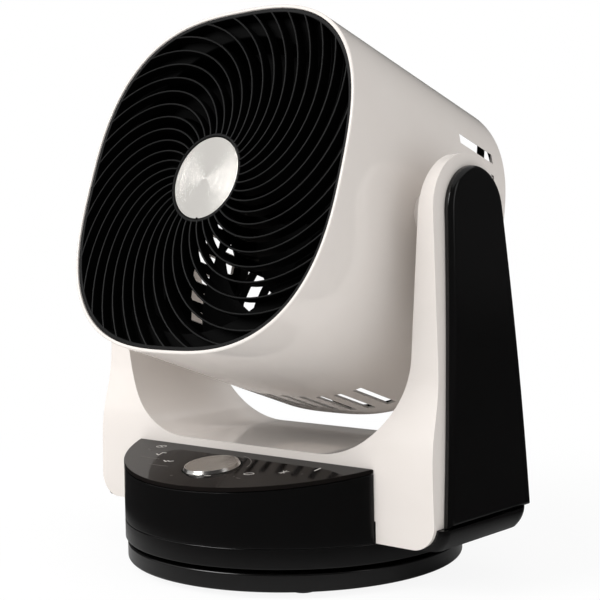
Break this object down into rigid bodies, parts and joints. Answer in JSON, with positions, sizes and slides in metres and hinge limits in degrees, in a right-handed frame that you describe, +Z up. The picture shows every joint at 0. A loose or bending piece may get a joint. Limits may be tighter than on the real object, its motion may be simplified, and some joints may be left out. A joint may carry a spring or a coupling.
{
  "type": "air circulator fan",
  "caption": "Desk air circulator: a soft-square fan head with a spiral grille tilts in a white U-shaped yoke on a round swivelling base with a sloped panel and a metal knob.",
  "frame": {"origin": "where the swivel axis meets the floor, under the middle of the foot", "axes": "+Z up along the swivel axis; the grille and the control panel face -Y; +X to the right seen from the front"},
  "size_m": [0.328, 0.2451, 0.3846],
  "materials": {
    "black_gloss": "gloss moulded",
    "panel_gloss": "gloss, dark grey-brown tint",
    "white_gloss": "gloss warm white",
    "black_satin": "satin moulded",
    "brushed_cap": "circular brushed, bare",
    "spun_knob": "spun, fine concentric lines",
    "motor_alloy": "as cast",
    "steel": "turned",
    "rubber": "matt",
    "nylon": "natural moulded",
    "board": "circuit board green"
  },
  "bodies": {
    "base": {"foot_disc": "black_gloss", "foot_pad_1": "rubber", "foot_pad_2": "rubber", "foot_pad_3": "rubber", "foot_pad_4": "rubber", "swivel_post": "steel", "post_screw_1": "steel", "post_screw_2": "steel", "post_screw_3": "steel", "slip_ring": "nylon", "swivel_sector": "nylon", "swivel_clip": "steel"},
    "turntable": {"turntable_tray": "black_gloss", "tray_screw_1": "steel", "tray_screw_2": "steel", "tray_screw_3": "steel", "tray_screw_4": "steel", "swivel_bush": "nylon", "swing_motor": "steel", "swing_motor_screw_1": "steel", "swing_motor_screw_2": "steel", "main_housing": "black_gloss", "control_panel": "panel_gloss", "control_board": "board", "encoder_body": "steel", "power_board": "board", "cable_gland": "rubber", "yoke_frame": "white_gloss", "side_cover_left": "black_gloss", "side_cover_right": "black_gloss", "pivot_bush_left": "nylon", "pivot_bush_right": "nylon"},
    "swing_pinion": {"swing_pinion": "nylon"},
    "knob_button": {"encoder_plunger": "nylon"},
    "knob": {"control_knob": "spun_knob", "encoder_shaft": "steel"},
    "head": {"head_shell": "white_gloss", "front_grille": "black_satin", "centre_cap": "brushed_cap", "rear_grille": "black_satin", "air_duct": "black_satin", "motor_bracket": "black_satin", "motor_housing": "motor_alloy", "motor_screw_1": "steel", "motor_screw_2": "steel", "motor_screw_3": "steel", "motor_bearing_front": "steel", "motor_bearing_rear": "steel", "pivot_axle_left": "steel", "pivot_axle_right": "steel", "friction_washer_left": "rubber", "friction_washer_right": "rubber", "pivot_nut_left": "steel", "pivot_nut_right": "steel"},
    "rotor": {"impeller": "black_satin", "motor_shaft": "steel", "impeller_nut": "black_satin"}
  },
  "joints": [
    {"name": "swivel", "type": "hinge", "parent": "base", "child": "turntable", "pos_m": [0, 0, 0.02], "axis": [0, 0, 1], "range_deg": [-40, 40]},
    {"name": "tilt", "type": "hinge", "parent": "turntable", "child": "head", "pos_m": [0, 0, 0.2415], "axis": [-1, 0, 0], "range_deg": [-18.5, 71.5]},
    {"name": "fan_spin", "type": "hinge", "parent": "head", "child": "rotor", "pos_m": [0, 0, 0.2415], "axis": [0, -0.9479, 0.3185], "continuous": true},
    {"name": "swing_drive", "type": "hinge", "parent": "turntable", "child": "swing_pinion", "pos_m": [0.039, 0, 0.033], "axis": [0, 0, 1], "range_deg": [-140, 140]},
    {"name": "knob_push", "type": "slide", "parent": "turntable", "child": "knob_button", "axis": [0, 0.1401, -0.9901], "range_m": [0, 0.0005], "stiffness_N_per_m": 800, "springref_m": -0.003},
    {"name": "knob_turn", "type": "hinge", "parent": "knob_button", "child": "knob", "pos_m": [0, -0.082, 0.07498], "axis": [0, -0.1401, 0.9901], "continuous": true}
  ],
  "couplings": [
    {"joint": "swing_drive", "follows": "swivel", "ratio": 3.3333}
  ]
}
